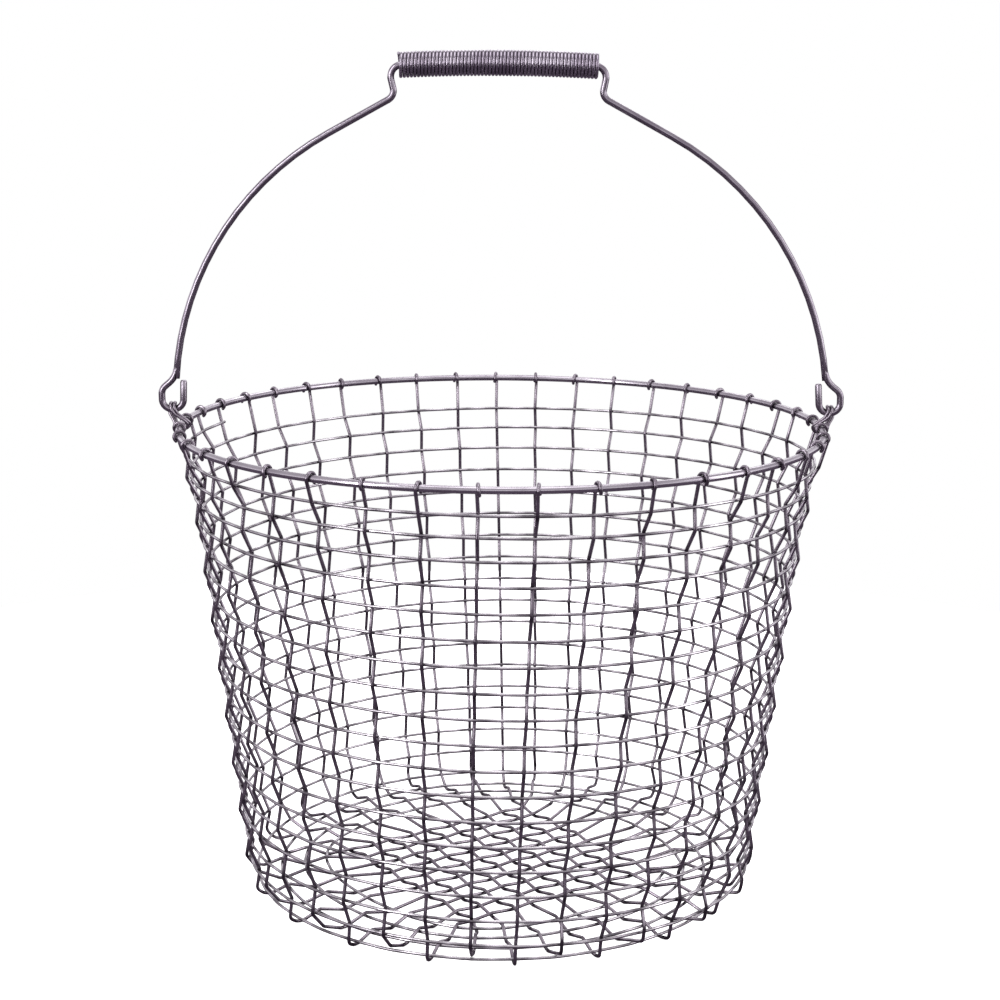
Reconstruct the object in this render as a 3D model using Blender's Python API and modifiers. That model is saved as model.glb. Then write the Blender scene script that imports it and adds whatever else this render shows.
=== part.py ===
"""Hand-woven wire basket with a lift-up bail handle, in metres, +Z up.

Forty-one crimped wires run up the wall and hook over a round rim rod. Forty of
them are the two ends of twenty through wires, which cross as a plain-woven mat
in the middle of the floor; the odd one lets a single long weaver wire spiral
from the floor to the rim and pass in front of and behind them in turn. The
bail hangs on two twisted double links and carries a close-wound coil grip.

The origin is on the ground under the middle of the basket. The bail lies in
the XZ plane. Angles round the basket start at -Y and grow towards +X.
"""

import math

import bpy
from mathutils import Matrix, Vector

# ---- driving dimensions -------------------------------------------------
RIM_RADIUS = 0.188
RIM_HEIGHT = 0.275
RIM_ROD = 0.0040
RIB_WIRE = 0.0020
WEAVER_WIRE = 0.0018
LINK_WIRE = 0.0018
BAIL_WIRE = 0.0040

MAT_WIRES = 10
RIB_COUNT = 4 * MAT_WIRES + 1
RIB_PITCH = 2 * math.pi / RIB_COUNT
TWIST = math.radians(2.3)
RIB_TURN = math.radians(1.2)
RIB_CROWDING = math.radians(3.3)
MAT_ANGLE = math.radians(35.5)
MAT_SPACING = 0.0145

WALL_FOOT = RIM_RADIUS - 0.0377
WALL_SLOPE = 0.118
CORNER_RADIUS = 0.008
FLARE_START = RIM_HEIGHT * 8 / 11
FIT_GAP = 0.0004
RIB_CRIMP = (RIB_WIRE + WEAVER_WIRE) / 2 + FIT_GAP
CORNER_EASE = 0.0005
FLOOR_LEVEL = RIB_CRIMP + RIB_WIRE * math.sqrt(math.pi) / 4 + 0.00004
MAT_EXIT = 0.0065
MAT_DEEP_CRIMP = RIB_WIRE * 0.925
MAT_SLIGHT_CRIMP = RIB_WIRE * 0.425
FOOT_LENGTH = 0.0040
ODD_TAIL = 0.0040

WEAVE_PITCH = 0.0149
WEAVE_START = 0.0967
WEAVE_SQUARE = 0.0050
WEAVE_TURNS = 21.49
WEAVE_TIGHT = 0.00045

LOOP_TURN = math.radians(310)
LOOP_SHIFT = 0.0028

GRIP_HALF = 0.0575
GRIP_OUTER = BAIL_WIRE / 2 + 0.0055
GRIP_BORE = BAIL_WIRE / 2 + 0.0036
BAIL_TOP = RIM_HEIGHT + 0.2077
BAIL_ARCH = 0.0014
BAIL_LEAN = -0.0029
SHOULDER = (GRIP_HALF + 0.0053, GRIP_HALF + 0.0015)
SHOULDER_DROP = 0.0174
ELBOW = (RIM_RADIUS - 0.0058, RIM_HEIGHT + 0.1228)
WRIST = (RIM_RADIUS + 0.0023, RIM_HEIGHT + 0.0280)
HOOK_OUTER = RIM_RADIUS + 0.0113
HOOK_INNER = RIM_RADIUS - 0.0010
HOOK_BOTTOM = RIM_HEIGHT + 0.0086
HOOK_TIP = RIM_HEIGHT + 0.0260
LINK_SPREAD = 0.0069
LINK_SLACK = 0.0011

STEEL = {
    "rim": (0.52, 0.50, 0.53, 0.24),
    "ribs": (0.50, 0.48, 0.51, 0.28),
    "weaver": (0.55, 0.53, 0.56, 0.27),
    "links": (0.48, 0.46, 0.49, 0.26),
    "bail": (0.50, 0.48, 0.51, 0.22),
    "grip": (0.56, 0.54, 0.57, 0.24),
}


# ---- scene helpers ------------------------------------------------------
def clear_scene():
    """Take away whatever the scene holds."""
    for obj in list(bpy.data.objects):
        bpy.data.objects.remove(obj, do_unlink=True)


def steel(name):
    """One bright steel material per kind of piece."""
    red, green, blue, roughness = STEEL[name]
    material = bpy.data.materials.new("steel_" + name)
    material.use_nodes = True
    shader = material.node_tree.nodes["Principled BSDF"]
    shader.inputs["Base Color"].default_value = (red, green, blue, 1.0)
    shader.inputs["Metallic"].default_value = 1.0
    shader.inputs["Roughness"].default_value = roughness
    material.diffuse_color = (red, green, blue, 1.0)
    return material


def wire(name, points, diameter, sides, material, closed=False, tilt=0.0):
    """A round wire as a curve through the points, with 4, 6 or 8 sides.

    The polygon section has the area of the true round wire, and its flats
    face along the bend so that crossing wires pass flat to flat.
    """
    data = bpy.data.curves.new(name, "CURVE")
    data.dimensions = "3D"
    data.twist_mode = "Z_UP" if tilt else "MINIMUM"
    data.bevel_resolution = sides // 2 - 2
    area = 0.5 * sides * math.sin(2 * math.pi / sides)
    data.bevel_depth = 0.5 * diameter * math.sqrt(math.pi / area)
    data.use_fill_caps = not closed
    spline = data.splines.new("POLY")
    spline.points.add(len(points) - 1)
    for spot, place in zip(spline.points, points):
        spot.co = (place.x, place.y, place.z, 1.0)
        spot.tilt = tilt
    spline.use_cyclic_u = closed
    data.materials.append(material)
    obj = bpy.data.objects.new(name, data)
    BASKET.objects.link(obj)
    return obj


def place_on(obj, origin, parent=None):
    """Put the object's origin on its joint axis without moving its wire."""
    obj.data.transform(Matrix.Translation(-origin))
    obj.location = origin
    if parent is not None:
        obj.parent = parent
        obj.matrix_parent_inverse = Matrix.Translation(-parent.location)


def polar(radius, angle, height):
    """A point round the basket: angle zero is -Y, a quarter turn is +X."""
    return Vector((radius * math.sin(angle), -radius * math.cos(angle), height))


def fillet_path(corners, radii, steps):
    """A flat path through corners, each rounded by its own radius."""
    path = [corners[0]]
    for before, corner, after, radius, count in zip(
        corners, corners[1:], corners[2:], radii, steps
    ):
        back = (before - corner).normalized()
        ahead = (after - corner).normalized()
        half = 0.5 * back.angle(ahead)
        centre = corner + (back + ahead).normalized() * (radius / math.sin(half))
        start = (corner + back * (radius / math.tan(half)) - centre).normalized()
        end = (corner + ahead * (radius / math.tan(half)) - centre).normalized()
        for step in range(count + 1):
            path.append(centre + start.slerp(end, step / count) * radius)
    path.append(corners[-1])
    return path


# ---- side profile: floor, corner, wall and flare -------------------------
def profile_runs():
    """The (length, curvature) runs of the basket's half section."""
    lean = math.atan(WALL_SLOPE)
    turn = math.pi / 2 - lean
    foot = WALL_FOOT + WALL_SLOPE * FLOOR_LEVEL
    floor = foot - CORNER_RADIUS * math.tan(turn / 2)
    corner_top = FLOOR_LEVEL + CORNER_RADIUS * (1 - math.cos(turn))
    straight = (FLARE_START - corner_top) / math.cos(lean)
    rise = RIM_HEIGHT - FLARE_START
    extra = RIM_RADIUS - (WALL_FOOT + WALL_SLOPE * RIM_HEIGHT)
    flare = math.atan(WALL_SLOPE + 2 * extra / rise) - lean
    length = rise / math.cos(lean + flare / 2)
    return (
        (floor, 0.0),
        (CORNER_RADIUS * turn, 1 / CORNER_RADIUS),
        (straight, 0.0),
        (length, -flare / length),
    )


RUNS = profile_runs()
FLOOR_RUN = RUNS[0][0]
RIM_RUN = sum(length for length, _ in RUNS)


def profile(along):
    """Radius, height and outward normal of the half section at a distance."""
    radius, height, heading, left = 0.0, FLOOR_LEVEL, 0.0, along
    for length, bend in RUNS:
        step = min(left, length)
        turn = bend * step
        chord = step if abs(turn) < 1e-9 else 2 * math.sin(turn / 2) / bend
        radius += chord * math.cos(heading + turn / 2)
        height += chord * math.sin(heading + turn / 2)
        heading += turn
        left -= step
    return radius, height, math.sin(heading), -math.cos(heading)


# ---- the weave ------------------------------------------------------------
def rib_angle(rib, along):
    """Angle of a rib, slightly crowded towards one side as a hand leaves them.

    The whole weave is also wound a little round the basket on its way up.
    """
    even = (8 - rib) * RIB_PITCH + RIB_PITCH / 2
    at_rim = even + RIB_TURN + RIB_CROWDING * math.sin(even)
    share = min(max((along - FLOOR_RUN) / (RIM_RUN - FLOOR_RUN), 0.0), 1.0)
    return at_rim - TWIST * (1 - share)


def group_angle(rib):
    """Middle direction of the ten parallel wires that a rib belongs to."""
    return MAT_ANGLE - math.radians(90) * (rib // MAT_WIRES)


def side_of(crossing):
    """+1 where the rib passes outside the weaver, -1 where inside."""
    return 1 if crossing % 2 else -1


def weave_run(crossing):
    """Distance along the half section of one crossing of the spiral."""
    turns = crossing / RIB_COUNT
    run = WEAVE_START + WEAVE_PITCH * turns
    run -= WEAVE_TIGHT * max(0.0, turns - WEAVE_TURNS + 3.5) ** 2
    angle = rib_angle(crossing % RIB_COUNT, 0.0) - MAT_ANGLE
    fade = max(0.0, 1 - turns / 2)
    return run - WEAVE_SQUARE * fade * math.cos(4 * angle)


def mat_offset(rib):
    """Sideways place of a rib's wire in its group of parallel wires."""
    return ((MAT_WIRES - 1) / 2 - rib % MAT_WIRES) * MAT_SPACING


def mat_point(heading, forward, sideways, height):
    """A point given by distance forward and sideways of a heading."""
    ahead = polar(forward, heading, height)
    beside = polar(sideways, heading + math.pi / 2, 0.0)
    return ahead + beside


def fan_point(rib, radius, height):
    """Where a rib, fanning out from the mat, is at a radius on the floor."""
    outer = polar(FLOOR_RUN, rib_angle(rib, 0.0), height)
    if rib == RIB_COUNT - 1:
        return polar(radius, rib_angle(rib, 0.0), height)
    edge = (MAT_WIRES - 1) / 2 * MAT_SPACING + MAT_EXIT
    inner = mat_point(group_angle(rib), edge, mat_offset(rib), height)
    ahead = outer - inner
    flat = Vector((inner.x, inner.y))
    a = ahead.length_squared
    b = flat.dot(Vector((ahead.x, ahead.y)))
    c = flat.length_squared - radius * radius
    return inner + ahead * ((-b + math.sqrt(b * b - a * c)) / a)


def rib_place(rib, along, lift):
    """A rib's centre at a distance along the section, lifted off mid-surface."""
    radius, height, out, up = profile(along)
    if along <= FLOOR_RUN:
        return fan_point(rib, radius, height + lift * up)
    return polar(radius + lift * out, rib_angle(rib, along), height + lift * up)


def last_crossing():
    """Number of the crossing that ends the spiral."""
    return int(WEAVE_TURNS * RIB_COUNT)


def rib_loop(rib, outside):
    """The hook over the rim rod: up one side, over and back underneath."""
    steps = 7
    radius = RIM_ROD / 2 + RIB_WIRE / 2 + FIT_GAP
    radius /= math.cos(LOOP_TURN / steps / 2)
    angle = rib_angle(rib, RIM_RUN)
    points = []
    for step in range(steps + 1):
        share = step / steps
        turn = math.radians(-40) + LOOP_TURN * share
        across = radius * math.cos(turn) * (1 if outside else -1)
        place = polar(RIM_RADIUS + across, angle, RIM_HEIGHT + radius * math.sin(turn))
        shift = (share - 0.5) * LOOP_SHIFT
        points.append(place + polar(shift, angle + math.pi / 2, 0.0))
    return points


def rib_run(rib):
    """Points of one rib from its first weaver crossing to its rim hook."""
    points = []
    side = 1
    for crossing in range(rib, last_crossing() + 1, RIB_COUNT):
        along = weave_run(crossing)
        side = side_of(crossing)
        steps = (0.0,)
        before_corner = FLOOR_RUN - FOOT_LENGTH / 2 - along
        if side > 0 and 0 < before_corner < WEAVE_PITCH:
            steps = (-FOOT_LENGTH / 2, FOOT_LENGTH / 2)
        elif side > 0 and 0 <= -before_corner < 2.2 * CORNER_RADIUS:
            steps = (-CORNER_RADIUS / 2, 0.0, CORNER_RADIUS / 2)
        for step in steps:
            ease = CORNER_EASE * profile(along + step)[2] if len(steps) > 2 else 0.0
            points.append(rib_place(rib, along + step, side * RIB_CRIMP + ease))
    return points + rib_loop(rib, side > 0)


def mat_run(rib):
    """Points of a through wire across the mat, from one rib's side over."""
    heading = group_angle(rib)
    edge = (MAT_WIRES - 1) / 2 * MAT_SPACING
    deep = (rib // MAT_WIRES) % 2 == 0
    crimp = MAT_DEEP_CRIMP if deep else MAT_SLIGHT_CRIMP
    points = []
    for step in range(MAT_WIRES):
        lift = side_of(rib + 1 + step) * crimp
        forward = edge - step * MAT_SPACING
        height = FLOOR_LEVEL - lift
        points.append(mat_point(heading, forward, mat_offset(rib), height))
    return points


def partner(rib):
    """The rib at the other end of a through wire."""
    return 3 * MAT_WIRES - 1 - rib if rib < MAT_WIRES else 5 * MAT_WIRES - 1 - rib


def make_ribs(material):
    """Twenty through wires and the single odd one."""
    first = list(range(MAT_WIRES)) + list(range(3 * MAT_WIRES, 4 * MAT_WIRES))
    for number, rib in enumerate(first, start=1):
        one = rib_run(rib)
        other = rib_run(partner(rib))
        points = one[::-1] + mat_run(rib) + other
        wire(f"rib_{number:02d}", points, RIB_WIRE, 4, material)
    odd = RIB_COUNT - 1
    tail = rib_place(odd, weave_run(odd) - ODD_TAIL, 0.0)
    points = rib_run(odd)[::-1] + [tail]
    wire(f"rib_{len(first) + 1:02d}", points, RIB_WIRE, 4, material)


def make_weaver(material):
    """One long wire, wound as a spiral from the mat's corner to the rim.

    Up the wall it has a corner at every second crossing, where a rib is
    inside it; on the floor and round the corner it has one at each crossing.
    """
    points = []
    for crossing in range(last_crossing() + 2):
        along = weave_run(crossing)
        if along > FLOOR_RUN + 2 * CORNER_RADIUS and side_of(crossing) > 0:
            continue
        points.append(rib_place(crossing % RIB_COUNT, along, 0.0))
    start = (points[0] - points[1]).normalized() * (MAT_SPACING / 3)
    points.insert(0, points[0] + start)
    return wire("weaver_wire", points, WEAVER_WIRE, 4, material, tilt=math.pi / 4)


# ---- rim, links, bail and grip ---------------------------------------------
def make_rim(material):
    """The closed rim rod."""
    count = 2 * RIB_COUNT
    points = [
        polar(RIM_RADIUS, RIB_PITCH * (step + 1) / 2, RIM_HEIGHT)
        for step in range(count)
    ]
    return wire("rim_ring", points, RIM_ROD, 8, material, True, math.pi / 8)


def bail_side():
    """The bail's right half, from the grip's middle to the hook's cut end."""
    hook = (HOOK_OUTER - HOOK_INNER) / 2
    spots = (
        (0.0, BAIL_TOP + BAIL_ARCH),
        (SHOULDER[0], BAIL_TOP - BAIL_ARCH * 0.3),
        (SHOULDER[1], BAIL_TOP - SHOULDER_DROP),
        ELBOW,
        WRIST,
        (HOOK_OUTER, WRIST[1] - 0.0075),
        (HOOK_OUTER, HOOK_BOTTOM),
        (HOOK_INNER, HOOK_BOTTOM),
        (HOOK_INNER - 0.0008, HOOK_TIP),
    )
    corners = [Vector((across, 0.0, height)) for across, height in spots]
    radii = (0.0066, 0.0060, 0.180, 0.012, 0.0045, hook * 0.99, hook * 0.96)
    return fillet_path(corners, radii, (6, 4, 9, 2, 2, 5, 5))


def leaned(spot):
    """A point of the bail, moved sideways as the bail leans over."""
    share = (spot.z - HOOK_BOTTOM) / (BAIL_TOP - HOOK_BOTTOM)
    return Vector((spot.x + BAIL_LEAN * max(share, 0.0), spot.y, spot.z))


def hook_seat():
    """The lowest point of the right hook's centreline."""
    return Vector(((HOOK_OUTER + HOOK_INNER) / 2, 0.0, HOOK_BOTTOM))


def make_bail(material):
    """The bail wire: two arms with shoulders, wrists and open end hooks."""
    half = bail_side()
    mirrored = [Vector((-spot.x, 0.0, spot.z)) for spot in half[:0:-1]]
    points = [leaned(spot) for spot in mirrored + half[1:]]
    bail = wire("bail_wire", points, BAIL_WIRE, 8, material)
    place_on(bail, Vector((0.0, 0.0, HOOK_BOTTOM)))
    return bail


def link_points(sign):
    """Two turns of a saddle-shaped link between rim rod and hook.

    Its strands pass under the rim rod side by side along the rod, and over
    the hook side by side along the hook, a quarter turn round.
    """
    seat = hook_seat()
    low = RIM_HEIGHT - RIM_ROD / 2 - LINK_WIRE / 2 - FIT_GAP
    high = seat.z + BAIL_WIRE / 2 + LINK_WIRE / 2 + LINK_SLACK
    strand = LINK_WIRE * 1.2
    wind = math.radians(700)
    count = 88
    points = []
    for step in range(count + 1):
        share = step / count
        turn = 2 * math.pi + wind * (share - 0.5)
        upper = (1 - math.cos(turn)) / 2
        height = low + (high - low) * upper
        climb = (height - RIM_HEIGHT) / (seat.z - LINK_WIRE / 2 - RIM_HEIGHT)
        climb = min(max(climb, 0.0), 1.0)
        lean = (seat.x - RIM_RADIUS) * climb * climb * (3 - 2 * climb)
        spread = LINK_SPREAD * math.sin(turn)
        lay = math.pi / 2 * (1 - abs(1 - (turn % (2 * math.pi)) / math.pi))
        drift = strand * (share - 0.5) * wind / (2 * math.pi)
        across = RIM_RADIUS + lean + spread * (1 - upper) + drift * math.sin(lay)
        along = spread * upper - drift * math.cos(lay)
        points.append(Vector((sign * across, along, height)))
    return points


def make_links(material):
    """The left and right links, each turning about the rim rod."""
    for name, sign in (("left_link", -1), ("right_link", 1)):
        link = wire(name, link_points(sign), LINK_WIRE, 6, material)
        place_on(link, Vector((sign * RIM_RADIUS, 0.0, RIM_HEIGHT)))


def make_grip(material, bail):
    """The coil grip as the plain sleeve that its close turns fill."""
    middle = leaned(Vector((0.0, 0.0, BAIL_TOP + BAIL_ARCH * 0.6)))
    bpy.ops.mesh.primitive_cylinder_add(
        vertices=20, radius=GRIP_OUTER, depth=2 * GRIP_HALF, end_fill_type="NOTHING"
    )
    grip = bpy.context.object
    grip.name = "grip_coil"
    grip.data.name = "grip_coil"
    grip.data.transform(Matrix.Rotation(math.pi / 2, 4, "Y"))
    shell = grip.modifiers.new("coil_wall", "SOLIDIFY")
    shell.thickness = GRIP_OUTER - GRIP_BORE
    shell.offset = -1.0
    shell.use_even_offset = True
    for collection in list(grip.users_collection):
        collection.objects.unlink(grip)
    BASKET.objects.link(grip)
    grip.data.materials.append(material)
    grip.data.shade_smooth()
    grip.location = middle
    grip.parent = bail
    grip.matrix_parent_inverse = Matrix.Translation(-bail.location)
    return grip


clear_scene()
BASKET = bpy.data.collections.new("fruit_picker_basket")
bpy.context.scene.collection.children.link(BASKET)

make_rim(steel("rim"))
make_ribs(steel("ribs"))
make_weaver(steel("weaver"))
make_links(steel("links"))
make_grip(steel("grip"), make_bail(steel("bail")))
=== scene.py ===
"""Looks of a hand-woven stainless wire basket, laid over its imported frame.

Forty-one crimped ribs hook over a round rim rod. Forty of them are the ends of
twenty through wires that cross as a plain-woven mat in the floor. One long
weaver spirals from the mat to the rim. A bail with a close-wound coil grip
hangs on two double links. Lengths are in metres, +Z is up, and angles round
the basket start at -Y and grow towards +X.
"""

import logging
import math
from dataclasses import dataclass, field
from enum import Enum
from typing import Any, Iterable, Sequence, Union

import bmesh
import bpy
from mathutils import Matrix, Vector


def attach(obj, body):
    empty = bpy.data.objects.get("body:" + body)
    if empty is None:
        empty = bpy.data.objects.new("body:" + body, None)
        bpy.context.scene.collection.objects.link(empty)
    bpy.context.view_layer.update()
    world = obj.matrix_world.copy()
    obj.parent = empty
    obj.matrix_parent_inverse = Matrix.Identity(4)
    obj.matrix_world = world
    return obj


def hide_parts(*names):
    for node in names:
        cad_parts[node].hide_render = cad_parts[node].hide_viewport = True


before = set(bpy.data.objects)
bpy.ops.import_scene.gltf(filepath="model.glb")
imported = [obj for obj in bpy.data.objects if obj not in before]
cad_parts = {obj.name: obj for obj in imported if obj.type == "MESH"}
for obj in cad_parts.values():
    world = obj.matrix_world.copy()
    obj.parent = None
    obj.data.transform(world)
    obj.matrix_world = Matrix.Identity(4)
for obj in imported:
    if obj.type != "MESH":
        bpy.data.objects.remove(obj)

LOG = logging.getLogger("wire_basket")
Colour = tuple[float, float, float]


class Side(Enum):
    """The side of the woven wall on which a rib passes the weaver."""

    OUTSIDE = 1
    INSIDE = -1


class Body(Enum):
    """The rigid bodies of the frame that pieces ride on."""

    BASKET = "basket"
    BAIL = "bail"
    GRIP = "grip"
    LEFT_LINK = "left_link"
    RIGHT_LINK = "right_link"


# ---------------------------------------------------------------- shader tools
class Signal:
    """A shader socket that can be added to and multiplied like a number."""

    def __init__(self, graph: "Graph", socket: bpy.types.NodeSocket) -> None:
        """Wrap one output socket.

        Args:
            graph: The node graph that owns the socket.
            socket: The output socket to wrap.
        """
        self.graph = graph
        self.socket = socket

    def _math(self, operation: str, first: Any, second: Any) -> "Signal":
        """Join two values by one Math node.

        Args:
            operation: The Math node's operation.
            first: The first value or signal.
            second: The second value or signal.

        Returns:
            The result as a signal.
        """
        node = self.graph.node(
            "ShaderNodeMath", {"operation": operation}, {0: first, 1: second}
        )
        return Signal(self.graph, node.outputs[0])

    def __add__(self, other: Any) -> "Signal":
        """Sum of this signal and another value."""
        return self._math("ADD", self, other)

    def __radd__(self, other: Any) -> "Signal":
        """Sum of another value and this signal."""
        return self._math("ADD", other, self)

    def __sub__(self, other: Any) -> "Signal":
        """This signal less another value."""
        return self._math("SUBTRACT", self, other)

    def __rsub__(self, other: Any) -> "Signal":
        """Another value less this signal."""
        return self._math("SUBTRACT", other, self)

    def __mul__(self, other: Any) -> "Signal":
        """Product of this signal and another value."""
        return self._math("MULTIPLY", self, other)

    def __rmul__(self, other: Any) -> "Signal":
        """Product of another value and this signal."""
        return self._math("MULTIPLY", other, self)

    def between(self, low: float, high: float) -> "Signal":
        """Spread the part of this signal between two values over 0 to 1.

        Args:
            low: The value that becomes 0.
            high: The value that becomes 1.

        Returns:
            The smoothly spread and clamped signal.
        """
        node = self.graph.node(
            "ShaderNodeMapRange",
            {"interpolation_type": "SMOOTHSTEP"},
            {"Value": self, "From Min": low, "From Max": high},
        )
        return Signal(self.graph, node.outputs["Result"])


Input = Union[Signal, float, Sequence[float]]


class Graph:
    """A node tree with short ways to add and join nodes."""

    def __init__(self, tree: bpy.types.NodeTree) -> None:
        """Start from an emptied tree.

        Args:
            tree: The node tree to fill.
        """
        self.tree = tree
        tree.nodes.clear()

    def node(
        self, kind: str, settings: dict[str, Any], inputs: dict[Any, Input]
    ) -> bpy.types.Node:
        """Add one node.

        Args:
            kind: The node's type.
            settings: Its properties by name.
            inputs: Its inputs by name or index, as values or signals.

        Returns:
            The new node.
        """
        node = self.tree.nodes.new(kind)
        for name, value in settings.items():
            setattr(node, name, value)
        for name, value in inputs.items():
            if isinstance(value, Signal):
                self.tree.links.new(value.socket, node.inputs[name])
            else:
                node.inputs[name].default_value = value
        return node

    def signal(
        self,
        kind: str,
        settings: dict[str, Any],
        inputs: dict[Any, Input],
        output: Any = 0,
    ) -> Signal:
        """Add one node and take one of its outputs.

        Args:
            kind: The node's type.
            settings: Its properties by name.
            inputs: Its inputs by name or index.
            output: The output's name or index.

        Returns:
            The output as a signal.
        """
        return Signal(self, self.node(kind, settings, inputs).outputs[output])

    def blend(self, factor: Input, first: Input, second: Input) -> Signal:
        """Mix two colours.

        Args:
            factor: How much of the second colour shows.
            first: The first colour.
            second: The second colour.

        Returns:
            The mixed colour.
        """
        return self.signal(
            "ShaderNodeMix", {"data_type": "RGBA"}, {0: factor, 6: first, 7: second}, 2
        )

    def scaled(self, vector: Signal, factors: Sequence[float]) -> Signal:
        """Multiply a vector part by part.

        Args:
            vector: The vector to scale.
            factors: One factor for each axis.

        Returns:
            The scaled vector.
        """
        return self.signal(
            "ShaderNodeVectorMath", {"operation": "MULTIPLY"}, {0: vector, 1: factors}
        )

    def noise(self, vector: Signal, scale: float, detail: float) -> Signal:
        """Soft noise from 0 to 1.

        Args:
            vector: Where the noise is read.
            scale: Its cycles per unit of the vector.
            detail: Its octaves.

        Returns:
            The noise value.
        """
        inputs = {"Vector": vector, "Scale": scale, "Detail": detail}
        return self.signal("ShaderNodeTexNoise", {}, inputs)


def opaque(colour: Colour) -> tuple[float, float, float, float]:
    """The colour with full alpha."""
    return (*colour, 1.0)


@dataclass(frozen=True)
class SteelFinish:
    """Bright drawn stainless wire: die lines, dull patches, and painted shade in the
    nooks where wires cross and wrap.
    """

    name: str
    bright: Colour
    dull: Colour
    # Dark colour of the painted shade in the nooks; the real dark pits use it too.
    nook: Colour = (0.035, 0.026, 0.038)
    smooth: float = 0.17
    rough: float = 0.36
    line_depth: float = 0.000007
    line_pitch: float = 0.00021
    line_length: float = 0.030
    patch_size: float = 0.018
    speck_size: float = 1 / 900
    line_tone: float = 0.30
    # Strength of the painted nook shade, and how much more of it the dull patches get.
    nook_shade_tone: float = 0.35
    worn_shade_tone: float = 0.40
    speck_tone: float = 0.12

    def material(self) -> bpy.types.Material:
        """Build the node material.

        Returns:
            The finished material.
        """
        material = bpy.data.materials.new(self.name)
        material.use_nodes = True
        material.diffuse_color = opaque(self.bright)
        graph = Graph(material.node_tree)
        grain = graph.signal(
            "ShaderNodeAttribute", {"attribute_name": "grain"}, {}, "Vector"
        )
        nook = graph.signal(
            "ShaderNodeAttribute", {"attribute_name": "nook"}, {}, "Fac"
        )
        place = graph.signal("ShaderNodeTexCoord", {}, {}, "Object")
        across = 1 / self.line_pitch
        drawn = graph.scaled(grain, (across, across, 1 / self.line_length))
        lines = graph.noise(drawn, 1.0, 3.0)
        patches = graph.noise(place, 1 / self.patch_size, 4.0)
        specks = graph.noise(place, 1 / self.speck_size, 2.0).between(0.62, 0.74)
        worn = patches.between(0.38, 0.66)
        colour = graph.blend(worn, opaque(self.bright), opaque(self.dull))
        streaks = lines.between(0.45, 0.75) * self.line_tone
        streaked = graph.blend(streaks, colour, opaque(self.dull))
        # Painted shade: darken the colour where the nook attribute marks wires crossing
        # or wrapping each other.
        nook_shade = nook * (self.nook_shade_tone + worn * self.worn_shade_tone)
        shaded = graph.blend(nook_shade, streaked, opaque(self.nook))
        # Real dark pits at random, drawn in the same dark colour.
        spotted = graph.blend(specks * self.speck_tone, shaded, opaque(self.nook))
        spread = self.rough - self.smooth
        roughness = self.smooth + (worn * 0.50 + lines * 0.25 + specks * 0.15) * spread
        bump = graph.signal(
            "ShaderNodeBump",
            {},
            {"Strength": 1.0, "Distance": self.line_depth, "Height": lines},
        )
        shader = graph.signal(
            "ShaderNodeBsdfPrincipled",
            {},
            {
                "Base Color": spotted,
                "Roughness": roughness,
                "Normal": bump,
                "Metallic": 1.0,
            },
        )
        graph.node("ShaderNodeOutputMaterial", {}, {"Surface": shader})
        return material


# ------------------------------------------------------------------ wire tools
@dataclass(frozen=True)
class Bend:
    """A corner of a wire's route and the radius it is bent to."""

    spot: Vector
    radius: float = 0.0
    # Weight of painted shade here, where the wire crosses or wraps another.
    nook: float = 0.0


@dataclass(frozen=True)
class Ring:
    """One cross section of a bent wire."""

    centre: Vector
    across: Vector
    rise: Vector
    along: float
    girth: float
    # Weight of painted shade at this section.
    nook: float


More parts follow.
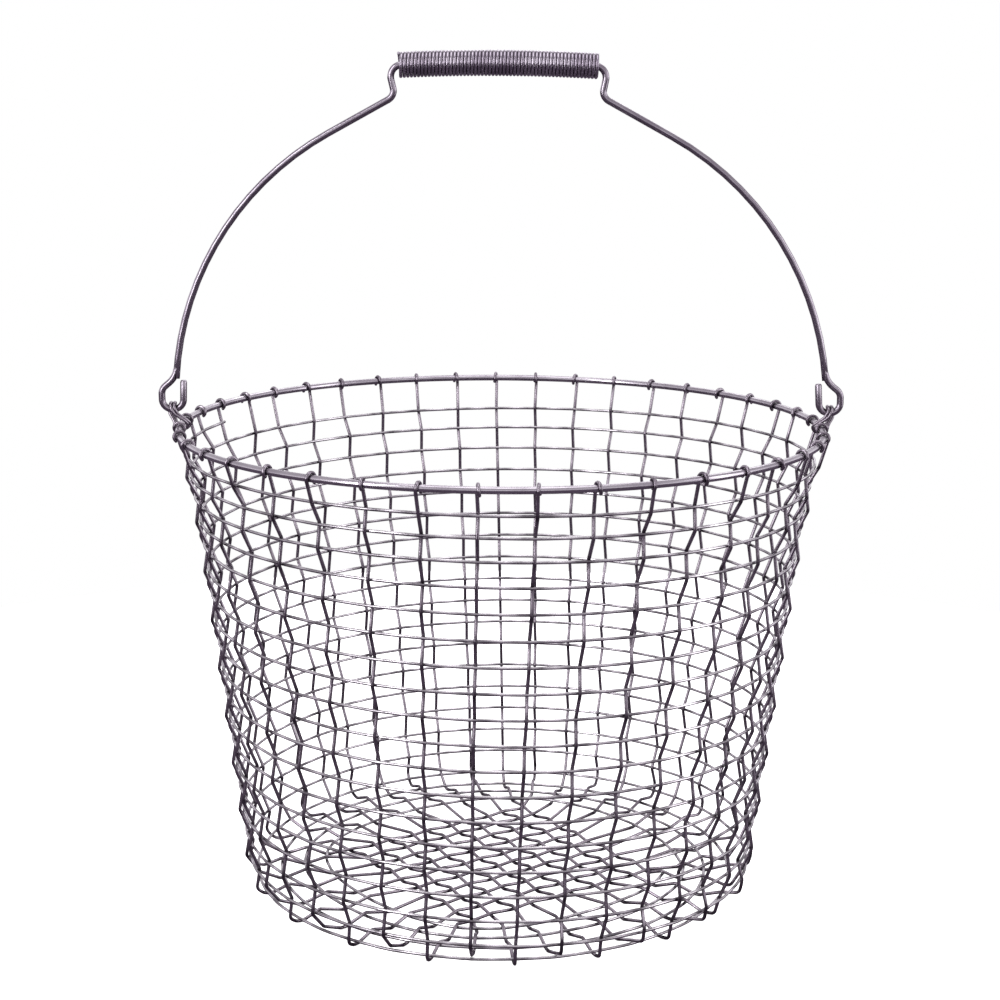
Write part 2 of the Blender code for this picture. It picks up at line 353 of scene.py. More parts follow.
@dataclass(frozen=True)
class Wire:
    """A round drawn wire, bent along a route."""

    diameter: float
    sides: int = 10
    arc_step: float = math.radians(14)
    slack: float = 0.48
    end_round: float = 0.30
    end_girths: tuple[float, float] = (0.62, 0.88)
    least_turn: float = math.radians(1.5)

    def spots(self, route: Sequence[Bend]) -> list[tuple[Vector, float]]:
        """Round every bend of a route.

        Args:
            route: The corners in order.

        Returns:
            Points along the rounded route, each with its nook value, the weight of
            painted shade there.
        """
        first, last = route[0], route[-1]
        points = [(first.spot, first.nook)]
        for before, bend, after in zip(route, route[1:], route[2:]):
            back = before.spot - bend.spot
            ahead = after.spot - bend.spot
            turn = math.pi - back.angle(ahead)
            reach = bend.radius * math.tan(turn / 2)
            reach = min(reach, self.slack * min(back.length, ahead.length))
            if turn < self.least_turn or reach < 1e-5:
                points.append((bend.spot, bend.nook))
                continue
            radius = reach / math.tan(turn / 2)
            middle = (back.normalized() + ahead.normalized()).normalized()
            centre = bend.spot + middle * math.hypot(reach, radius)
            start = (bend.spot + back.normalized() * reach - centre).normalized()
            end = (bend.spot + ahead.normalized() * reach - centre).normalized()
            steps = max(2, math.ceil(turn / self.arc_step))
            for step in range(steps + 1):
                spot = centre + start.slerp(end, step / steps) * radius
                points.append((spot, bend.nook))
        points.append((last.spot, last.nook))
        return points

    def rings(self, route: Sequence[Bend]) -> list[Ring]:
        """Cross sections of an open wire, with eased cut ends.

        Args:
            route: The corners in order.

        Returns:
            The cross sections in order along the wire.
        """
        points = self.spots(route)
        ease = self.end_round * self.diameter
        head, tail = points[0], points[-1]
        after = (points[1][0] - head[0]).normalized()
        before = (points[-2][0] - tail[0]).normalized()
        inner = [(head[0] + after * ease, head[1])] + points[1:-1]
        inner.append((tail[0] + before * ease, tail[1]))
        near = (head[0] + after * ease * 0.3, head[1])
        far = (tail[0] + before * ease * 0.3, tail[1])
        line = [head, near] + inner + [far, tail]
        cut, eased = self.end_girths
        girths = [cut, eased] + [1.0] * len(inner) + [eased, cut]
        heading = after
        across = heading.orthogonal().normalized()
        along = 0.0
        rings = []
        for number, (spot, nook) in enumerate(line):
            previous = line[max(number - 1, 0)][0]
            following = line[min(number + 1, len(line) - 1)][0]
            ahead = (following - previous).normalized()
            across = heading.rotation_difference(ahead) @ across
            across = (across - ahead * across.dot(ahead)).normalized()
            heading = ahead
            along += (spot - previous).length
            rise = ahead.cross(across)
            rings.append(Ring(spot, across, rise, along, girths[number], nook))
        return rings

    def bend(self, name: str, route: Sequence[Bend]) -> bpy.types.Object:
        """Make the wire's mesh: a straight tube, bent ring by ring.

        Args:
            name: The new piece's name.
            route: The corners in order.

        Returns:
            The new object.
        """
        return self.wrap(name, self.rings(route))

    def wrap(self, name: str, rings: Sequence[Ring]) -> bpy.types.Object:
        """Roll a flat sheet into a tube that follows the given rings.

        Args:
            name: The new piece's name.
            rings: The cross sections in order.

        Returns:
            The new object.
        """
        tube = bmesh.new()
        steps = len(rings) - 1
        bmesh.ops.create_grid(tube, x_segments=steps, y_segments=self.sides, size=0.5)
        grain = tube.verts.layers.float_vector.new("grain")
        # The nook layer carries the weight of painted shade to the material.
        nook = tube.verts.layers.float.new("nook")
        for vert in tube.verts:
            ring = rings[round((vert.co.x + 0.5) * steps)]
            turn = 2 * math.pi * round((vert.co.y + 0.5) * self.sides) / self.sides
            x = math.cos(turn) * self.diameter / 2
            y = math.sin(turn) * self.diameter / 2
            vert[grain] = (x, y, ring.along)
            vert[nook] = ring.nook
            offset = ring.across * (x * ring.girth) + ring.rise * (y * ring.girth)
            vert.co = ring.centre + offset
        bmesh.ops.remove_doubles(tube, verts=tube.verts[:], dist=1e-6)
        return finish_mesh(name, tube)


def finish_mesh(name: str, shape: bmesh.types.BMesh) -> bpy.types.Object:
    """Close a bmesh's ends, turn its faces outwards and make it an object.

    Args:
        name: The new object's name.
        shape: The bmesh, which is freed.

    Returns:
        The new object, at the origin.
    """
    rims = [edge for edge in shape.edges if edge.is_boundary]
    bmesh.ops.holes_fill(shape, edges=rims, sides=0)
    bmesh.ops.recalc_face_normals(shape, faces=shape.faces[:])
    for face in shape.faces:
        face.smooth = len(face.verts) < 5
    mesh = bpy.data.meshes.new(name)
    shape.to_mesh(mesh)
    shape.free()
    piece = bpy.data.objects.new(name, mesh)
    bpy.context.scene.collection.objects.link(piece)
    return piece


def hang(
    piece: bpy.types.Object,
    body: Body,
    node: str,
    material: bpy.types.Material,
) -> None:
    """Dress a piece and put it on its body in place of its frame node.

    Args:
        piece: The finished piece.
        body: The rigid body it rides on.
        node: The frame node that it stands for.
        material: Its finish.
    """
    piece.data.materials.clear()
    piece.data.materials.append(material)
    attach(piece, body.value)
    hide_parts(node)
    LOG.info("%s: %d faces on %s", piece.name, len(piece.data.polygons), body.value)


def polar(radius: float, angle: float, height: float) -> Vector:
    """A point round the basket, where angle zero is -Y."""
    return Vector((radius * math.sin(angle), -radius * math.cos(angle), height))


# ------------------------------------------------------------------- the weave
@dataclass
class HalfSection:
    """The basket's half section: flat floor, corner, leaning wall and flare."""

    rim_radius: float = 0.188
    rim_height: float = 0.275
    wall_foot: float = 0.1503
    wall_slope: float = 0.118
    corner_radius: float = 0.008
    flare_start: float = 0.200
    floor_level: float = 0.003226
    runs: tuple[tuple[float, float], ...] = field(init=False)

    def __post_init__(self) -> None:
        """Work out the length and curvature of each run of the section."""
        lean = math.atan(self.wall_slope)
        turn = math.pi / 2 - lean
        foot = self.wall_foot + self.wall_slope * self.floor_level
        floor = foot - self.corner_radius * math.tan(turn / 2)
        top = self.floor_level + self.corner_radius * (1 - math.cos(turn))
        straight = (self.flare_start - top) / math.cos(lean)
        rise = self.rim_height - self.flare_start
        extra = self.rim_radius - self.wall_foot - self.wall_slope * self.rim_height
        flare = math.atan(self.wall_slope + 2 * extra / rise) - lean
        length = rise / math.cos(lean + flare / 2)
        self.runs = (
            (floor, 0.0),
            (self.corner_radius * turn, 1 / self.corner_radius),
            (straight, 0.0),
            (length, -flare / length),
        )

    @property
    def floor_run(self) -> float:
        """Length of the flat floor from the middle to the corner."""
        return self.runs[0][0]

    @property
    def rim_run(self) -> float:
        """Length of the whole half section."""
        return sum(length for length, _ in self.runs)

    def at(self, along: float) -> tuple[float, float, float, float]:
        """Follow the half section for a distance.

        Args:
            along: The distance from the middle of the floor.

        Returns:
            Radius, height, and the outward normal's two parts.
        """
        radius, height, heading, left = 0.0, self.floor_level, 0.0, along
        for length, bend in self.runs:
            step = min(left, length)
            turn = bend * step
            chord = step if abs(turn) < 1e-9 else 2 * math.sin(turn / 2) / bend
            radius += chord * math.cos(heading + turn / 2)
            height += chord * math.sin(heading + turn / 2)
            heading += turn
            left -= step
        return radius, height, math.sin(heading), -math.cos(heading)


@dataclass
class Weave:
    """Where ribs and weaver run and cross each other."""

    section: HalfSection = field(default_factory=HalfSection)
    mat_wires: int = 10
    twist: float = math.radians(2.3)
    rib_turn: float = math.radians(1.2)
    rib_crowding: float = math.radians(3.3)
    mat_angle: float = math.radians(35.5)
    mat_spacing: float = 0.0145
    mat_exit: float = 0.0065
    pitch: float = 0.0149
    start: float = 0.0967
    square: float = 0.0050
    turns: float = 21.49
    tighten: float = 0.00045
    tight_turns: float = 3.5
    first_rib: int = 8

    @property
    def rib_count(self) -> int:
        """Ribs round the wall: four sides of the mat and one odd rib."""
        return 4 * self.mat_wires + 1

    @property
    def last_crossing(self) -> int:
        """Number of the crossing that ends the spiral."""
        return int(self.turns * self.rib_count)

    def rib_angle(self, rib: int, along: float) -> float:
        """Angle of a rib, slightly crowded and wound round on its way up.

        Args:
            rib: The rib's number.
            along: The distance along the half section.

        Returns:
            The angle in radians.
        """
        step = 2 * math.pi / self.rib_count
        even = (self.first_rib - rib) * step + step / 2
        at_rim = even + self.rib_turn + self.rib_crowding * math.sin(even)
        floor, rim = self.section.floor_run, self.section.rim_run
        share = min(max((along - floor) / (rim - floor), 0.0), 1.0)
        return at_rim - self.twist * (1 - share)

    def group_angle(self, rib: int) -> float:
        """Heading of the parallel floor wires that a rib belongs to."""
        return self.mat_angle - math.radians(90) * (rib // self.mat_wires)

    def side_of(self, crossing: int) -> Side:
        """The rib's side of the weaver at a crossing."""
        return Side.OUTSIDE if crossing % 2 else Side.INSIDE

    def run_at(self, crossing: int) -> float:
        """Distance along the half section of one crossing of the spiral.

        Args:
            crossing: The crossing's number from the weaver's inner end.

        Returns:
            The distance in metres.
        """
        turns = crossing / self.rib_count
        run = self.start + self.pitch * turns
        run -= self.tighten * max(0.0, turns - self.turns + self.tight_turns) ** 2
        angle = self.rib_angle(crossing % self.rib_count, 0.0) - self.mat_angle
        fade = max(0.0, 1 - turns / 2)
        return run - self.square * fade * math.cos(4 * angle)

    def mat_point(
        self, heading: float, forward: float, sideways: float, height: float
    ) -> Vector:
        """A point by its distances forward and sideways of a heading.

        Args:
            heading: The heading's angle.
            forward: Distance along the heading.
            sideways: Distance to its side.
            height: Height above the ground.

        Returns:
            The point.
        """
        ahead = polar(forward, heading, height)
        return ahead + polar(sideways, heading + math.pi / 2, 0.0)

    def mat_offset(self, rib: int) -> float:
        """Sideways place of a rib's wire among its parallel wires."""
        return ((self.mat_wires - 1) / 2 - rib % self.mat_wires) * self.mat_spacing

    def fan_point(self, rib: int, radius: float, height: float) -> Vector:
        """Where a rib that fans out from the mat meets a radius on the floor.

        Args:
            rib: The rib's number.
            radius: The radius to meet.
            height: The point's height.

        Returns:
            The point.
        """
        angle = self.rib_angle(rib, 0.0)
        if rib == self.rib_count - 1:
            return polar(radius, angle, height)
        outer = polar(self.section.floor_run, angle, height)
        edge = (self.mat_wires - 1) / 2 * self.mat_spacing + self.mat_exit
        heading, sideways = self.group_angle(rib), self.mat_offset(rib)
        inner = self.mat_point(heading, edge, sideways, height)
        ahead = (outer - inner).to_2d()
        flat = inner.to_2d()
        a = ahead.length_squared
        b = flat.dot(ahead)
        c = flat.length_squared - radius * radius
        return inner + (outer - inner) * ((-b + math.sqrt(b * b - a * c)) / a)

    def place(self, rib: int, along: float, lift: float) -> Vector:
        """A rib's centre, lifted off the woven surface.

        Args:
            rib: The rib's number.
            along: The distance along the half section.
            lift: How far outside the surface the wire runs.

        Returns:
            The point.
        """
        radius, height, out, up = self.section.at(along)
        if along <= self.section.floor_run:
            return self.fan_point(rib, radius, height + lift * up)
        angle = self.rib_angle(rib, along)
        return polar(radius + lift * out, angle, height + lift * up)


@dataclass
class Ribs:
    """The through wires of the floor, turned up as ribs and hooked at the rim."""

    weave: Weave
    finish: SteelFinish
    wire: Wire = Wire(diameter=0.0020, sides=12, arc_step=math.radians(11))
    rim_rod: float = 0.0040
    crimp: float = 0.00212
    crimp_radius: float = 0.0030
    corner_radius: float = 0.0060
    corner_ease: float = 0.0004
    foot_length: float = 0.0040
    odd_tail: float = 0.0040
    mat_deep: float = 0.00152
    mat_slight: float = 0.00066
    mat_radius: float = 0.0050
    hook_start: float = math.radians(-40)
    hook_turn: float = math.radians(282)
    hook_shift: float = 0.0016
    hook_gap: float = 0.00008
    hook_steps: int = 26

    def hook(self, rib: int, side: Side) -> list[Bend]:
        """The hook over the rim rod: up one side, over and back underneath.

        Args:
            rib: The rib's number.
            side: The side of the rod on which the rib comes up.

        Returns:
            The hook's points in order.
        """
        section = self.weave.section
        radius = self.rim_rod / 2 + self.wire.diameter / 2 + self.hook_gap
        angle = self.weave.rib_angle(rib, section.rim_run)
        bends = []
        for step in range(self.hook_steps + 1):
            share = step / self.hook_steps
            turn = self.hook_start + self.hook_turn * share
            across = radius * math.cos(turn) * side.value
            height = section.rim_height + radius * math.sin(turn)
            spot = polar(section.rim_radius + across, angle, height)
            spot += polar((share - 0.5) * self.hook_shift, angle + math.pi / 2, 0.0)
            # The hook wraps the rim rod, so it gets painted shade at 0.55 all over.
            bends.append(Bend(spot, 0.0 if step else self.crimp_radius, 0.55))
        return bends

    def wall_run(self, rib: int) -> list[Bend]:
        """A rib's route from its first weaver crossing to its hook.

        Args:
            rib: The rib's number.

        Returns:
            The route's corners in order.
        """
        weave = self.weave
        floor = weave.section.floor_run
        corner = weave.section.corner_radius
        bends = []
        side = Side.OUTSIDE
        for crossing in range(rib, weave.last_crossing + 1, weave.rib_count):
            along = weave.run_at(crossing)
            side = weave.side_of(crossing)
            steps, bend, ease = (0.0,), self.crimp_radius, 0.0
            before_corner = floor - self.foot_length / 2 - along
            if side is Side.OUTSIDE and 0 < before_corner < weave.pitch:
                steps = (-self.foot_length / 2, self.foot_length / 2)
            elif side is Side.OUTSIDE and 0 <= -before_corner < 2.2 * corner:
                steps = (-corner / 2, 0.0, corner / 2)
                bend, ease = self.corner_radius, self.corner_ease
            for step in steps:
                spot = along + step
                lift = side.value * self.crimp + ease * weave.section.at(spot)[2]
                # Full painted shade at each weaver crossing.
                bends.append(Bend(weave.place(rib, spot, lift), bend, 1.0))
        return bends + self.hook(rib, side)

    def mat_run(self, rib: int) -> list[Bend]:
        """A through wire's route across the woven mat.

        Args:
            rib: The rib that the route starts from.

        Returns:
            The route's corners in order.
        """
        weave = self.weave
        edge = (weave.mat_wires - 1) / 2 * weave.mat_spacing
        deep = (rib // weave.mat_wires) % 2 == 0
        crimp = self.mat_deep if deep else self.mat_slight
        bends = []
        for step in range(weave.mat_wires):
            lift = weave.side_of(rib + 1 + step).value * crimp
            spot = weave.mat_point(
                weave.group_angle(rib),
                edge - step * weave.mat_spacing,
                weave.mat_offset(rib),
                weave.section.floor_level - lift,
            )
            # Full painted shade at each crossing on the mat.
            bends.append(Bend(spot, self.mat_radius, 1.0))
        return bends

    def partner(self, rib: int) -> int:
        """The rib at the other end of a through wire."""
        wires = self.weave.mat_wires
        return (3 if rib < wires else 5) * wires - 1 - rib

    def parted(self, route: list[Bend]) -> list[Bend]:
        """Add clean, unbent points half way between the route's corners.

        Args:
            route: The corners in order.

        Returns:
            The corners with the middles of long stretches between them.
        """
        parts = [route[0]]
        for before, bend in zip(route, route[1:]):
            if (bend.spot - before.spot).length > 4 * self.wire.diameter:
                for share in (0.36, 0.64):
                    parts.append(Bend(before.spot.lerp(bend.spot, share)))
            parts.append(bend)
        return parts

    def build(self) -> None:
        """Make the twenty through wires and the single odd rib."""
        material = self.finish.material()
        wires = self.weave.mat_wires
        starts = list(range(wires)) + list(range(3 * wires, 4 * wires))
        for number, rib in enumerate(starts, start=1):
            route = self.wall_run(rib)[::-1] + self.mat_run(rib)
            route += self.wall_run(self.partner(rib))
            piece = self.wire.bend(f"rib_wire_{number:02d}", self.parted(route))
            hang(piece, Body.BASKET, f"rib_{number:02d}", material)
        odd = self.weave.rib_count - 1
        tail = self.weave.place(odd, self.weave.run_at(odd) - self.odd_tail, 0.0)
        route = self.wall_run(odd)[::-1] + [Bend(tail)]
        number = len(starts) + 1
        piece = self.wire.bend(f"rib_wire_{number:02d}", self.parted(route))
        hang(piece, Body.BASKET, f"rib_{number:02d}", material)


@dataclass
class Weaver:
    """The one long wire that spirals from the mat to the rim."""

    weave: Weave
    finish: SteelFinish
    wire: Wire = Wire(diameter=0.0018, sides=10, arc_step=math.radians(5))
    sway: float = 0.00014
    bend_radius: float = 0.120

    def route(self) -> list[Bend]:
        """The spiral's corners, one at each rib that it passes.

        Returns:
            The corners in order from the inner end.
        """
        weave = self.weave
        bends = []
        for crossing in range(weave.last_crossing + 2):
            lift = -weave.side_of(crossing).value * self.sway
            rib = crossing % weave.rib_count
            spot = weave.place(rib, weave.run_at(crossing), lift)
            # Full painted shade at each rib crossing.
            bends.append(Bend(spot, self.bend_radius, 1.0))
        lead = (bends[0].spot - bends[1].spot).normalized() * (weave.mat_spacing / 3)
        return [Bend(bends[0].spot + lead)] + bends

    def build(self) -> None:
        """Make the weaver."""
        route = self.route()
        spaced = [route[0]]
        for before, bend in zip(route, route[1:]):
            spaced.append(Bend(before.spot.lerp(bend.spot, 0.5)))
            spaced.append(bend)
        piece = self.wire.bend("weaver", spaced)
        hang(piece, Body.BASKET, "weaver_wire", self.finish.material())


# ------------------------------------------------- rim, links, bail and grip
@dataclass
class Rim:
    """The closed round rim rod."""

    section: HalfSection
    finish: SteelFinish
    rod: float = 0.0040
    sides: int = 16
    steps: int = 246

    def build(self) -> None:
        """Spin the rod's section round the basket."""
        shape = bmesh.new()
        bmesh.ops.create_circle(shape, segments=self.sides, radius=self.rod / 2)
        bmesh.ops.rotate(
            shape, verts=shape.verts[:], matrix=Matrix.Rotation(math.pi / 2, 3, "X")
        )
        middle = Vector((self.section.rim_radius, 0.0, self.section.rim_height))
        bmesh.ops.translate(shape, verts=shape.verts[:], vec=middle)
        bmesh.ops.spin(
            shape,
            geom=shape.verts[:] + shape.edges[:],
            axis=(0.0, 0.0, 1.0),
            angle=2 * math.pi,
            steps=self.steps,
            use_merge=True,
        )
        bmesh.ops.remove_doubles(shape, verts=shape.verts[:], dist=1e-6)
        grain = shape.verts.layers.float_vector.new("grain")
        shape.verts.layers.float.new("nook")
        for vert in shape.verts:
            out = vert.co.to_2d().length - middle.x
            turn = math.atan2(vert.co.y, vert.co.x)
            vert[grain] = (out, vert.co.z - middle.z, turn * middle.x)
        piece = finish_mesh("rim_rod", shape)
        hang(piece, Body.BASKET, "rim_ring", self.finish.material())


@dataclass
class Bail:
    """The bail wire: two arms with shoulders, wrists and open end hooks."""

    finish: SteelFinish
    wire: Wire = Wire(diameter=0.0040, sides=18, arc_step=math.radians(4), slack=1.01)
    top: float = 0.4827
    arch: float = 0.0014
    lean: float = -0.0029
    shoulder: tuple[float, float] = (0.0628, 0.0590)
    shoulder_drop: float = 0.0174
    elbow: tuple[float, float] = (0.1822, 0.3978)
    wrist: tuple[float, float] = (0.1903, 0.3030)
    hook_outer: float = 0.1993
    hook_inner: float = 0.1870
    hook_bottom: float = 0.2836
    hook_tip: float = 0.3010
    hook_share: float = 0.97
    tip_lean: float = 0.0008
    wrist_drop: float = 0.0075
    bends: tuple[float, ...] = (0.0066, 0.0060, 0.180, 0.014, 0.0060)
    arch_steps: int = 8

    @property
    def hook_radius(self) -> float:
        """Half the width of an end hook."""
        return (self.hook_outer - self.hook_inner) / 2

    def leaned(self, spot: Vector) -> Vector:
        """A point of the bail, moved sideways as the bail leans over.

        Args:
            spot: The point on the upright bail.

        Returns:
            The point on the leaning bail.
        """
        share = (spot.z - self.hook_bottom) / (self.top - self.hook_bottom)
        return spot + Vector((self.lean * max(share, 0.0), 0.0, 0.0))

    @property
    def seat(self) -> Vector:
        """The lowest point of the right hook's centreline."""
        middle = (self.hook_outer + self.hook_inner) / 2
        return Vector((middle, 0.0, self.hook_bottom))

    def half(self) -> list[Bend]:
        """The right half's corners from beside the grip to the cut end.

        Returns:
            The corners in order.
        """
        hook = self.hook_radius * self.hook_share
        over, under, arm, wrist, flank = self.bends
        corners = (
            (self.shoulder[0], self.top - self.arch * 0.3, over),
            (self.shoulder[1], self.top - self.shoulder_drop, under),
            (*self.elbow, arm),
            (*self.wrist, wrist),
            (self.hook_outer, self.wrist[1] - self.wrist_drop, flank),
            (self.hook_outer, self.hook_bottom, hook),
            (self.hook_inner, self.hook_bottom, hook),
            (self.hook_inner - self.tip_lean, self.hook_tip, 0.0),
        )
        return [Bend(Vector((x, 0.0, z)), radius) for x, z, radius in corners]

    def crown(self) -> list[Bend]:
        """The gently arched stretch inside the grip, left to right.

        Returns:
            The points between the two shoulders.
        """
        bends = []
        for step in range(1 - self.arch_steps, self.arch_steps):
            share = step / self.arch_steps
            height = self.top + self.arch * (1 - 1.3 * share * share)
            bends.append(Bend(Vector((self.shoulder[0] * share, 0.0, height)), 0.3))
        return bends

    def build(self) -> None:
        """Make the whole bail."""
        right = self.half()
        flip = Matrix.Scale(-1, 3, (1.0, 0.0, 0.0))
        left = [Bend(flip @ bend.spot, bend.radius) for bend in reversed(right)]
        route = [
            Bend(self.leaned(bend.spot), bend.radius)
            for bend in left + self.crown() + right
        ]
        piece = self.wire.bend("bail", route)
        hang(piece, Body.BAIL, "bail_wire", self.finish.material())


@dataclass
class Links:
    """The two double-turn links between rim rod and bail hooks."""

    section: HalfSection
    bail: Bail
    finish: SteelFinish
    wire: Wire = Wire(diameter=0.0018, sides=12)
    rim_rod: float = 0.0040
    gap: float = 0.0004
    slack: float = 0.0011
    spread: float = 0.0069
    wind: float = math.radians(700)
    strand_pitch: float = 1.2
    steps: int = 132

    def route(self, sign: int) -> list[Bend]:
        """Two saddle-shaped turns between rim rod and hook.

        Args:
            sign: +1 for the right link, -1 for the left.

        Returns:
            The link's points in order.
        """
        seat, rim = self.bail.seat, self.section.rim_height
        low = rim - self.rim_rod / 2 - self.wire.diameter / 2 - self.gap
        high = seat.z + (self.bail.wire.diameter + self.wire.diameter) / 2 + self.slack
        strand = self.wire.diameter * self.strand_pitch
        bends = []
        for step in range(self.steps + 1):
            share = step / self.steps
            turn = 2 * math.pi + self.wind * (share - 0.5)
            upper = (1 - math.cos(turn)) / 2
            height = low + (high - low) * upper
            climb = (height - rim) / (seat.z - self.wire.diameter / 2 - rim)
            climb = min(max(climb, 0.0), 1.0)
            lean = (seat.x - self.section.rim_radius) * climb * climb * (3 - 2 * climb)
            spread = self.spread * math.sin(turn)
            lay = math.pi / 2 * (1 - abs(1 - (turn % (2 * math.pi)) / math.pi))
            drift = strand * (share - 0.5) * self.wind / (2 * math.pi)
            out = self.section.rim_radius + lean + spread * (1 - upper)
            out += drift * math.sin(lay)
            aside = spread * upper - drift * math.cos(lay)
            # Painted shade where the turns wrap the rim rod and the bail hook, at the
            # bottom and top of each turn.
            nook = abs(2 * upper - 1) ** 4
            bends.append(Bend(Vector((sign * out, aside, height)), 0.0, nook))
        return bends

    def build(self) -> None:
        """Make both links."""
        material = self.finish.material()
        for body, sign in ((Body.LEFT_LINK, -1), (Body.RIGHT_LINK, 1)):
            piece = self.wire.bend(body.value + "_wire", self.route(sign))
            hang(piece, body, body.value, material)


@dataclass
class Grip:
    """The close-wound coil that turns on the bail's crown."""

    bail: Bail
    finish: SteelFinish
    half_length: float = 0.0575
    outer: float = 0.0075
    wire: Wire = Wire(diameter=0.00198, sides=10)
    turns: int = 56
    steps_per_turn: int = 26

    def route(self) -> list[Bend]:
        """The helix round the crown, bowed as the crown is.

        Returns:
            The helix's points in order.
        """
        reach = self.outer - self.wire.diameter / 2
        half = self.half_length - self.wire.diameter / 2
        steps = self.turns * self.steps_per_turn
        bends = []
        for step in range(steps + 1):
            share = 2 * step / steps - 1
            turn = 2 * math.pi * step / self.steps_per_turn
            height = self.bail.top + self.bail.arch * (1 - 1.05 * share * share)
            spot = Vector((half * share, reach * math.sin(turn), height))
            spot.z += reach * math.cos(turn)
            bends.append(Bend(self.bail.leaned(spot)))
        return bends

    def build(self) -> None:
        """Wind the coil."""
        piece = self.wire.bend("grip_turns", self.route())
        hang(piece, Body.GRIP, "grip_coil", self.finish.material())


# ---------------------------------------------------------------------- studio
@dataclass(frozen=True)
class Softbox:
    """One soft rectangular studio light."""

    name: str
    place: tuple[float, float, float]
    aim: tuple[float, float, float]
    size: tuple[float, float]
    power: float
    colour: Colour = (1.0, 1.0, 1.0)

    def build(self) -> None:
        """Hang the light and turn it to its aim."""
        lamp = bpy.data.lights.new(self.name, "AREA")
        lamp.shape = "RECTANGLE"
        lamp.size, lamp.size_y = self.size
        lamp.energy = self.power
        lamp.color = self.colour
        holder = bpy.data.objects.new(self.name, lamp)
        bpy.context.scene.collection.objects.link(holder)
        holder.location = self.place
        aim = Vector(self.aim) - Vector(self.place)
        holder.rotation_euler = aim.to_track_quat("-Z", "Y").to_euler()


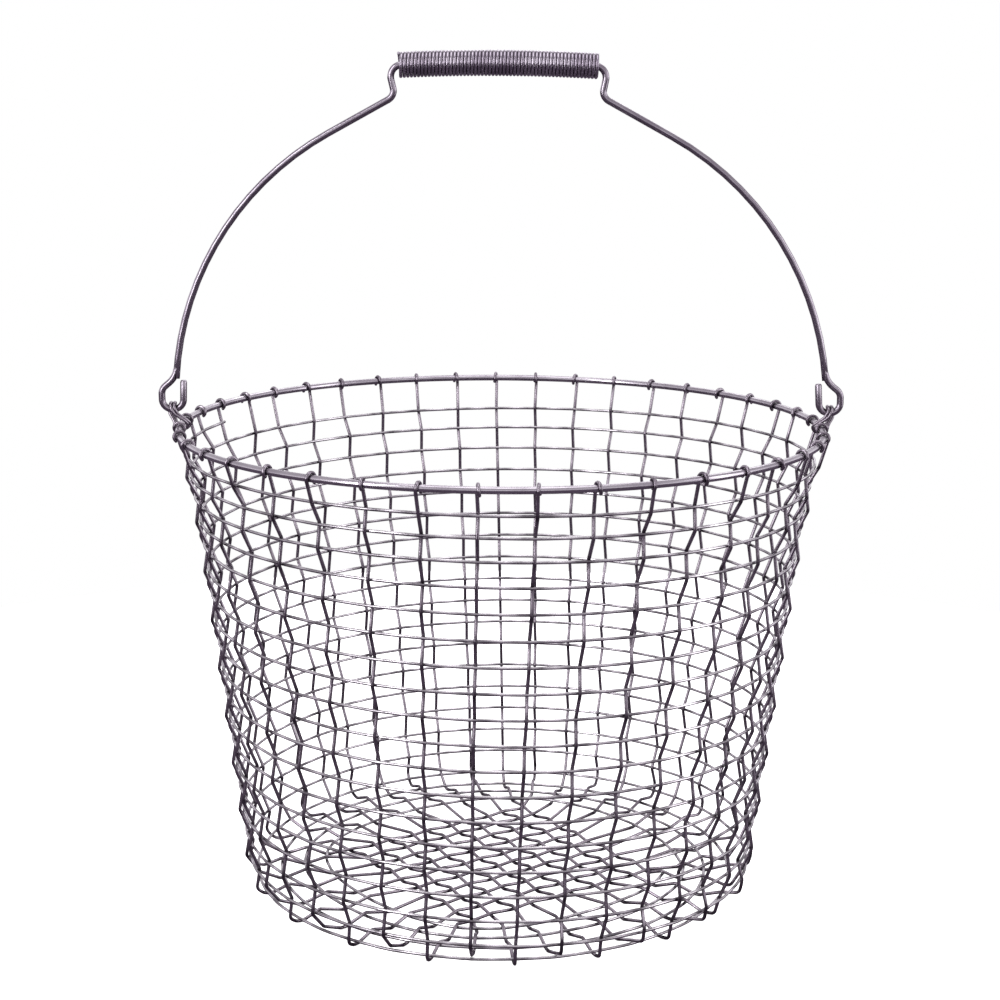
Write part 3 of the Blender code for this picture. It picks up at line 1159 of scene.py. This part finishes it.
@dataclass
class Studio:
    """A plain pale floor, soft lights, an even sky and the camera."""

    eye: tuple[float, float, float] = (0.0, -1.1915, 0.484)
    pitch: float = math.radians(12.03)
    yaw: float = math.radians(0.02)
    roll: float = math.radians(0.34)
    lens: float = 73.84
    sensor: float = 36.0
    floor_radius: float = 0.75
    floor_level: float = -0.0001
    floor_glow: float = 0.85
    backdrop: Colour = (1.0, 1.0, 1.0)
    paper: Colour = (0.92, 0.92, 0.92)
    paper_dull: Colour = (0.90, 0.90, 0.90)
    card: Colour = (0.12, 0.095, 0.13)
    ground: Colour = (0.185, 0.145, 0.200)
    horizon: Colour = (1.45, 1.42, 1.47)
    sky: Colour = (0.80, 0.77, 0.81)
    lights: tuple[Softbox, ...] = (
        Softbox("key", (-1.6, -1.5, 1.1), (0.0, 0.0, 0.35), (0.4, 2.2), 26.0),
        Softbox("fill", (2.1, -0.4, 0.6), (0.0, 0.0, 0.12), (0.5, 2.2), 12.0),
        Softbox("back", (0.4, 2.2, 1.9), (0.0, 0.0, 0.10), (1.8, 0.7), 12.0),
        Softbox("top", (0.0, -0.2, 2.4), (0.0, 0.0, 0.0), (1.5, 1.5), 16.0),
    )

    def camera(self) -> None:
        """Set up the camera."""
        data = bpy.data.cameras.new("camera")
        data.lens = self.lens
        data.sensor_width = self.sensor
        data.clip_end = 100.0
        holder = bpy.data.objects.new("camera", data)
        bpy.context.scene.collection.objects.link(holder)
        turn = Matrix.Rotation(self.yaw, 4, "Z")
        tilt = Matrix.Rotation(math.pi / 2 - self.pitch, 4, "X")
        level = Matrix.Rotation(self.roll, 4, "Z")
        holder.matrix_world = Matrix.Translation(self.eye) @ turn @ tilt @ level
        bpy.context.scene.camera = holder

    def floor(self) -> None:
        """Lay a round pale floor under the basket."""
        shape = bmesh.new()
        bmesh.ops.create_circle(
            shape, segments=96, radius=self.floor_radius, cap_ends=True
        )
        bmesh.ops.translate(shape, verts=shape.verts[:], vec=(0, 0, self.floor_level))
        piece = finish_mesh("floor", shape)
        material = bpy.data.materials.new("pale_floor")
        material.use_nodes = True
        graph = Graph(material.node_tree)
        place = graph.signal("ShaderNodeTexCoord", {}, {}, "Object")
        cloud = graph.noise(place, 3.0, 2.0)
        tone = graph.blend(cloud, opaque(self.paper_dull), opaque(self.paper))
        inputs = {
            "Base Color": tone,
            "Roughness": 0.9,
            "Emission Color": opaque(self.backdrop),
            "Emission Strength": self.floor_glow,
        }
        lit = graph.signal("ShaderNodeBsdfPrincipled", {}, inputs)
        card = graph.signal("ShaderNodeBsdfDiffuse", {}, {"Color": opaque(self.card)})
        seen = graph.signal("ShaderNodeLightPath", {}, {}, "Is Camera Ray")
        surface = graph.signal("ShaderNodeMixShader", {}, {0: seen, 1: card, 2: lit})
        graph.node("ShaderNodeOutputMaterial", {}, {"Surface": surface})
        piece.data.materials.append(material)

    def world(self) -> None:
        """Make a white backdrop, and a dusky room for the steel to mirror."""
        world = bpy.data.worlds.new("studio")
        world.use_nodes = True
        bpy.context.scene.world = world
        graph = Graph(world.node_tree)
        ray = graph.signal("ShaderNodeTexCoord", {}, {}, "Generated")
        rise = graph.signal("ShaderNodeSeparateXYZ", {}, {0: ray}, "Z")
        high = graph.blend(
            rise.between(0.10, 0.45), opaque(self.horizon), opaque(self.sky)
        )
        room = graph.blend(rise.between(-0.03, 0.03), opaque(self.ground), high)
        seen = graph.signal("ShaderNodeLightPath", {}, {}, "Is Camera Ray")
        tone = graph.blend(seen, room, opaque(self.backdrop))
        inputs = {"Color": tone, "Strength": 1.0}
        glow = graph.signal("ShaderNodeBackground", {}, inputs)
        graph.node("ShaderNodeOutputWorld", {}, {"Surface": glow})
        bpy.context.scene.view_settings.view_transform = "Standard"

    def build(self) -> None:
        """Set the camera, floor, sky and lights."""
        self.camera()
        self.floor()
        self.world()
        for light in self.lights:
            light.build()


def main() -> None:
    """Build every piece in order."""
    logging.basicConfig(level=logging.INFO, format="%(name)s: %(message)s")
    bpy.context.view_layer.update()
    rib_steel = SteelFinish("rib_steel", (0.34, 0.305, 0.345), (0.23, 0.2, 0.235))
    weaver_steel = SteelFinish("weaver_steel", (0.66, 0.63, 0.665), (0.50, 0.47, 0.505))
    rod_steel = SteelFinish("rod_steel", (0.42, 0.39, 0.43), (0.32, 0.29, 0.33))
    link_steel = SteelFinish("link_steel", (0.31, 0.28, 0.315), (0.2, 0.17, 0.205))
    coil_steel = SteelFinish("coil_steel", (0.36, 0.325, 0.375), (0.25, 0.215, 0.265))
    bail_steel = SteelFinish("bail_steel", (0.31, 0.28, 0.32), (0.22, 0.19, 0.23))
    weave = Weave()
    Studio().build()
    Rim(weave.section, rod_steel).build()
    Ribs(weave, rib_steel).build()
    Weaver(weave, weaver_steel).build()
    bail = Bail(bail_steel)
    bail.build()
    Links(weave.section, bail, link_steel).build()
    Grip(bail, coil_steel).build()


if __name__ == "__main__":
    main()
